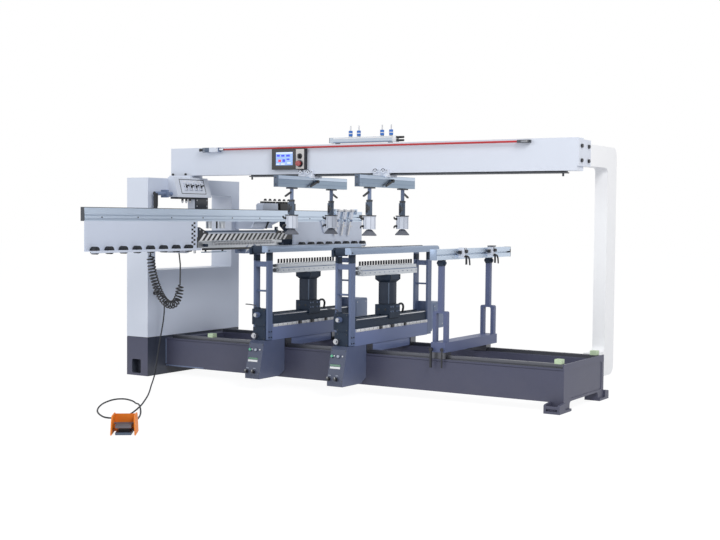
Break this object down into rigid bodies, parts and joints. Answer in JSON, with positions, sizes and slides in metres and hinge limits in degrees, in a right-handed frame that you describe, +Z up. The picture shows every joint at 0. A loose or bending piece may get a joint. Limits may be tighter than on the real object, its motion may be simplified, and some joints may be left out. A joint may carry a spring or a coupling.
{
  "type": "line boring machine",
  "caption": "Free-standing line boring machine: slotted fence, tilting side head, lifting vertical heads on carriages, overhead air presses and a foot pedal.",
  "frame": {"origin": "bottom centre of the object's box on the floor, the pedal's cord not counted", "axes": "+X along the bed away from the cabinet, +Y from the operator's side to the back, +Z up"},
  "size_m": [3.093, 3.776, 1.666],
  "materials": {
    "white_paint": "satin",
    "slate_paint": "satin",
    "grey_paint": "satin",
    "dark_steel": "matte",
    "aluminium": "brushed",
    "steel": "brushed",
    "black_rubber": "matte",
    "black_plastic": "matte",
    "red_plastic": "gloss",
    "green_plastic": "gloss",
    "orange_plastic": "satin"
  },
  "bodies": {
    "base": {"bed": "slate_paint", "cabinet": "white_paint", "overhead_beam": "white_paint", "column": "white_paint", "fence_profile": "aluminium", "fence_panels": "white_paint", "fence_wheels": "black_rubber", "valve_box": "white_paint", "hmi_panel": "black_plastic", "manifold": "aluminium", "rope_stop": "red_plastic", "curly_hose": "black_plastic", "pedal_cord": "black_rubber", "pedal_housing": "orange_plastic"},
    "treadle": {"treadle": "black_plastic"},
    "hmi_estop": {"hmi_estop": "red_plastic"},
    "hmi_switch": {"hmi_switch": "black_plastic"},
    "valve_lever_1": {"valve_lever_1": "black_plastic"},
    "valve_lever_2": {"valve_lever_2": "black_plastic"},
    "valve_lever_3": {"valve_lever_3": "black_plastic"},
    "valve_lever_4": {"valve_lever_4": "black_plastic"},
    "flip_stops": {"flip_stops": "steel"},
    "side_cradle": {"side_cradle": "dark_steel"},
    "side_head": {"side_head": "aluminium"},
    "carriage_1": {"carriage_beam_1": "slate_paint", "console_1": "slate_paint", "frame_1": "grey_paint"},
    "saddle_1": {"saddle_1": "dark_steel"},
    "head_1": {"head_1": "aluminium"},
    "handwheel_x_1": {"handwheel_x_1": "steel"},
    "handwheel_y_1": {"handwheel_y_1": "steel"},
    "start_button_1": {"start_button_1": "green_plastic"},
    "stop_button_1": {"stop_button_1": "steel"},
    "roller_1": {"roller_1": "black_rubber"},
    "carriage_2": {"carriage_beam_2": "slate_paint", "console_2": "slate_paint", "frame_2": "grey_paint"},
    "saddle_2": {"saddle_2": "dark_steel"},
    "head_2": {"head_2": "aluminium"},
    "handwheel_x_2": {"handwheel_x_2": "steel"},
    "handwheel_y_2": {"handwheel_y_2": "steel"},
    "start_button_2": {"start_button_2": "green_plastic"},
    "stop_button_2": {"stop_button_2": "steel"},
    "roller_2": {"roller_2": "black_rubber"},
    "support": {"support_base": "slate_paint"},
    "stop_front": {"stop_front": "white_paint"},
    "stop_rear": {"stop_rear": "white_paint"},
    "lock_lever": {"lock_lever": "black_plastic"},
    "bar_1": {"clamp_bar_1": "aluminium"},
    "bar_lever_1": {"bar_lever_1": "black_plastic"},
    "bar_2": {"clamp_bar_2": "aluminium"},
    "bar_lever_2": {"bar_lever_2": "black_plastic"},
    "press_1": {"press_1": "dark_steel"},
    "foot_1": {"foot_1": "black_rubber"},
    "press_2": {"press_2": "dark_steel"},
    "foot_2": {"foot_2": "black_rubber"},
    "press_3": {"press_3": "dark_steel"},
    "foot_3": {"foot_3": "black_rubber"},
    "press_4": {"press_4": "dark_steel"},
    "foot_4": {"foot_4": "black_rubber"}
  },
  "joints": [
    {"name": "treadle_press", "type": "hinge", "parent": "base", "child": "treadle", "pos_m": [-0.04419, -1.77876, 0.046], "axis": [0.809, 0.5878, 0], "range_deg": [0, 8], "stiffness_Nm_per_rad": 3, "springref_deg": -28.65},
    {"name": "estop_push", "type": "slide", "parent": "base", "child": "hmi_estop", "axis": [0, 1, 0], "range_m": [0, 0.006], "stiffness_N_per_m": 600, "springref_m": -0.004},
    {"name": "switch_turn", "type": "hinge", "parent": "base", "child": "hmi_switch", "pos_m": [-0.4245, 0.27301, 1.475], "axis": [0, 1, 0], "range_deg": [-45, 45]},
    {"name": "valve_1_flip", "type": "hinge", "parent": "base", "child": "valve_lever_1", "pos_m": [-1.28658, 0.16301, 1.27912], "axis": [0, 1, 0], "range_deg": [-20, 20]},
    {"name": "valve_2_flip", "type": "hinge", "parent": "base", "child": "valve_lever_2", "pos_m": [-1.28658, 0.21501, 1.27912], "axis": [0, 1, 0], "range_deg": [-20, 20]},
    {"name": "valve_3_flip", "type": "hinge", "parent": "base", "child": "valve_lever_3", "pos_m": [-1.28658, 0.26701, 1.27912], "axis": [0, 1, 0], "range_deg": [-20, 20]},
    {"name": "valve_4_flip", "type": "hinge", "parent": "base", "child": "valve_lever_4", "pos_m": [-1.28658, 0.31901, 1.27912], "axis": [0, 1, 0], "range_deg": [-20, 20]},
    {"name": "stops_flip", "type": "hinge", "parent": "base", "child": "flip_stops", "pos_m": [-0.9155, 1.61301, 1.128], "axis": [0, -1, 0], "range_deg": [0, 90]},
    {"name": "side_tilt", "type": "hinge", "parent": "base", "child": "side_cradle", "pos_m": [-0.9665, 0.39951, 0.905], "axis": [0, -1, 0], "range_deg": [0, 90]},
    {"name": "side_feed", "type": "slide", "parent": "side_cradle", "child": "side_head", "axis": [1, 0, 0], "range_m": [0, 0.06]},
    {"name": "carriage_1_slide", "type": "slide", "parent": "base", "child": "carriage_1", "axis": [1, 0, 0], "range_m": [-0.3, 0.4]},
    {"name": "saddle_1_slide", "type": "slide", "parent": "carriage_1", "child": "saddle_1", "axis": [0, 1, 0], "range_m": [-0.1, 0.1]},
    {"name": "head_1_lift", "type": "slide", "parent": "saddle_1", "child": "head_1", "axis": [0, 0, 1], "range_m": [0, 0.075]},
    {"name": "handwheel_x_1_turn", "type": "hinge", "parent": "carriage_1", "child": "handwheel_x_1", "pos_m": [-0.4515, -0.16699, 0.331], "axis": [0, 1, 0], "range_deg": [-1085, 1445]},
    {"name": "handwheel_y_1_turn", "type": "hinge", "parent": "carriage_1", "child": "handwheel_y_1", "pos_m": [-0.4355, -0.16699, 0.462], "axis": [0, 1, 0], "range_deg": [-725, 725]},
    {"name": "start_1_push", "type": "slide", "parent": "carriage_1", "child": "start_button_1", "axis": [0, 0.9731, -0.2305], "range_m": [0, 0.004], "stiffness_N_per_m": 400, "springref_m": -0.003},
    {"name": "stop_1_push", "type": "slide", "parent": "carriage_1", "child": "stop_button_1", "axis": [0, 0.9731, -0.2305], "range_m": [0, 0.004], "stiffness_N_per_m": 400, "springref_m": -0.003},
    {"name": "roller_1_spin", "type": "hinge", "parent": "carriage_1", "child": "roller_1", "pos_m": [-0.4215, -0.16299, 0.87], "axis": [1, 0, 0], "continuous": true},
    {"name": "carriage_2_slide", "type": "slide", "parent": "base", "child": "carriage_2", "axis": [1, 0, 0], "range_m": [-0.3, 0.4]},
    {"name": "saddle_2_slide", "type": "slide", "parent": "carriage_2", "child": "saddle_2", "axis": [0, 1, 0], "range_m": [-0.1, 0.1]},
    {"name": "head_2_lift", "type": "slide", "parent": "saddle_2", "child": "head_2", "axis": [0, 0, 1], "range_m": [0, 0.075]},
    {"name": "handwheel_x_2_turn", "type": "hinge", "parent": "carriage_2", "child": "handwheel_x_2", "pos_m": [0.1605, -0.16699, 0.331], "axis": [0, 1, 0], "range_deg": [-1085, 1445]},
    {"name": "handwheel_y_2_turn", "type": "hinge", "parent": "carriage_2", "child": "handwheel_y_2", "pos_m": [0.1765, -0.16699, 0.462], "axis": [0, 1, 0], "range_deg": [-725, 725]},
    {"name": "start_2_push", "type": "slide", "parent": "carriage_2", "child": "start_button_2", "axis": [0, 0.9731, -0.2305], "range_m": [0, 0.004], "stiffness_N_per_m": 400, "springref_m": -0.003},
    {"name": "stop_2_push", "type": "slide", "parent": "carriage_2", "child": "stop_button_2", "axis": [0, 0.9731, -0.2305], "range_m": [0, 0.004], "stiffness_N_per_m": 400, "springref_m": -0.003},
    {"name": "roller_2_spin", "type": "hinge", "parent": "carriage_2", "child": "roller_2", "pos_m": [0.1905, -0.16299, 0.87], "axis": [1, 0, 0], "continuous": true},
    {"name": "support_slide", "type": "slide", "parent": "base", "child": "support", "axis": [1, 0, 0], "range_m": [-0.3, 0.57]},
    {"name": "stop_front_slide", "type": "slide", "parent": "support", "child": "stop_front", "axis": [0, 1, 0], "range_m": [-0.25, 0.15]},
    {"name": "stop_rear_slide", "type": "slide", "parent": "support", "child": "stop_rear", "axis": [0, 1, 0], "range_m": [-0.15, 0.3]},
    {"name": "lock_turn", "type": "hinge", "parent": "support", "child": "lock_lever", "pos_m": [0.7075, 0.01801, 0.304], "axis": [0, 1, 0], "range_deg": [-60, 60]},
    {"name": "bar_1_slide", "type": "slide", "parent": "base", "child": "bar_1", "axis": [1, 0, 0], "range_m": [-0.35, 0.35]},
    {"name": "bar_lever_1_turn", "type": "hinge", "parent": "bar_1", "child": "bar_lever_1", "pos_m": [-0.3471, 0.38001, 1.31], "axis": [1, 0, 0], "range_deg": [-15, 60]},
    {"name": "bar_2_slide", "type": "slide", "parent": "base", "child": "bar_2", "axis": [1, 0, 0], "range_m": [-0.35, 1]},
    {"name": "bar_lever_2_turn", "type": "hinge", "parent": "bar_2", "child": "bar_lever_2", "pos_m": [0.2249, 0.38001, 1.31], "axis": [1, 0, 0], "range_deg": [-15, 60]},
    {"name": "press_1_slide", "type": "slide", "parent": "bar_1", "child": "press_1", "axis": [0, 1, 0], "range_m": [-0.1, 0.2]},
    {"name": "foot_1_push", "type": "slide", "parent": "press_1", "child": "foot_1", "axis": [0, 0, -1], "range_m": [0, 0.068], "stiffness_N_per_m": 300, "springref_m": -0.1},
    {"name": "press_2_slide", "type": "slide", "parent": "bar_1", "child": "press_2", "axis": [0, 1, 0], "range_m": [-0.2, 0.1]},
    {"name": "foot_2_push", "type": "slide", "parent": "press_2", "child": "foot_2", "axis": [0, 0, -1], "range_m": [0, 0.068], "stiffness_N_per_m": 300, "springref_m": -0.1},
    {"name": "press_3_slide", "type": "slide", "parent": "bar_2", "child": "press_3", "axis": [0, 1, 0], "range_m": [-0.1, 0.15]},
    {"name": "foot_3_push", "type": "slide", "parent": "press_3", "child": "foot_3", "axis": [0, 0, -1], "range_m": [0, 0.068], "stiffness_N_per_m": 300, "springref_m": -0.1},
    {"name": "press_4_slide", "type": "slide", "parent": "bar_2", "child": "press_4", "axis": [0, 1, 0], "range_m": [-0.15, 0.09]},
    {"name": "foot_4_push", "type": "slide", "parent": "press_4", "child": "foot_4", "axis": [0, 0, -1], "range_m": [0, 0.068], "stiffness_N_per_m": 300, "springref_m": -0.1}
  ],
  "couplings": [
    {"joint": "handwheel_x_1_turn", "follows": "carriage_1_slide", "rad_per_m": 62.832},
    {"joint": "handwheel_y_1_turn", "follows": "saddle_1_slide", "rad_per_m": 125.66},
    {"joint": "handwheel_x_2_turn", "follows": "carriage_2_slide", "rad_per_m": 62.832},
    {"joint": "handwheel_y_2_turn", "follows": "saddle_2_slide", "rad_per_m": 125.66}
  ]
}
